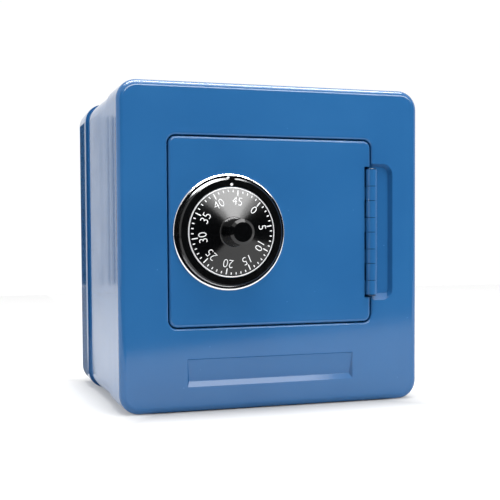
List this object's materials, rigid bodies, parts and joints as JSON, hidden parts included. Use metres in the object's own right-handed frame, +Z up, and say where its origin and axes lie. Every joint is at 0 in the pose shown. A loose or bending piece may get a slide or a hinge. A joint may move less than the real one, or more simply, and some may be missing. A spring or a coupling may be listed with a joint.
{
  "type": "toy safe coin bank",
  "caption": "Small sheet-metal safe used as a coin bank, with a coin slot in its roof, a hinged front door and a combination lock worked by a numbered dial.",
  "frame": {"origin": "on the table, under the centre of the whole object's outline seen from above, knob included", "axes": "+Z up, +X to the right seen from the front, the door and dial face -Y"},
  "size_m": [0.128, 0.1172, 0.13],
  "materials": {
    "blue_enamel": "smooth gloss enamel",
    "zinc_plated_steel": "bright zinc plate",
    "chrome_trim": "polished",
    "black_plastic": "polished moulding",
    "brass_parts": "turned and stamped, satin"
  },
  "bodies": {
    "case": {"front_pan": "blue_enamel", "body_sleeve": "blue_enamel", "back_pan": "blue_enamel", "door_stop": "blue_enamel", "strike_tab": "zinc_plated_steel", "strike_rivets": "zinc_plated_steel", "hinge_frame_leaf": "blue_enamel", "hinge_pin": "blue_enamel"},
    "door": {"door_panel": "blue_enamel", "hinge_door_leaf": "blue_enamel", "dial_ring": "chrome_trim", "dial_bezel": "black_plastic", "spindle_bush": "brass_parts", "friction_washer": "zinc_plated_steel", "bush_nut": "zinc_plated_steel", "stack_collar": "brass_parts", "wheel_spacers": "brass_parts", "lock_cover": "zinc_plated_steel", "cover_studs": "zinc_plated_steel", "cover_nuts": "zinc_plated_steel"},
    "dial": {"dial": "black_plastic", "spindle": "zinc_plated_steel", "drive_wheel": "brass_parts", "retaining_clip": "zinc_plated_steel"},
    "second_wheel": {"second_wheel": "brass_parts"},
    "third_wheel": {"third_wheel": "brass_parts"}
  },
  "joints": [
    {"name": "door_hinge", "type": "hinge", "parent": "case", "child": "door", "pos_m": [0.0423, -0.04191, 0.0711], "axis": [0, 0, 1], "range_deg": [0, 170]},
    {"name": "dial_spin", "type": "hinge", "parent": "door", "child": "dial", "pos_m": [-0.0195, -0.04135, 0.0709], "axis": [0, -1, 0], "continuous": true},
    {"name": "second_wheel_turn", "type": "hinge", "parent": "dial", "child": "second_wheel", "pos_m": [-0.0195, -0.02935, 0.0709], "axis": [0, -1, 0], "range_deg": [-154, 174]},
    {"name": "third_wheel_turn", "type": "hinge", "parent": "second_wheel", "child": "third_wheel", "pos_m": [-0.0195, -0.03235, 0.0709], "axis": [0, -1, 0], "range_deg": [-144, 184]}
  ]
}
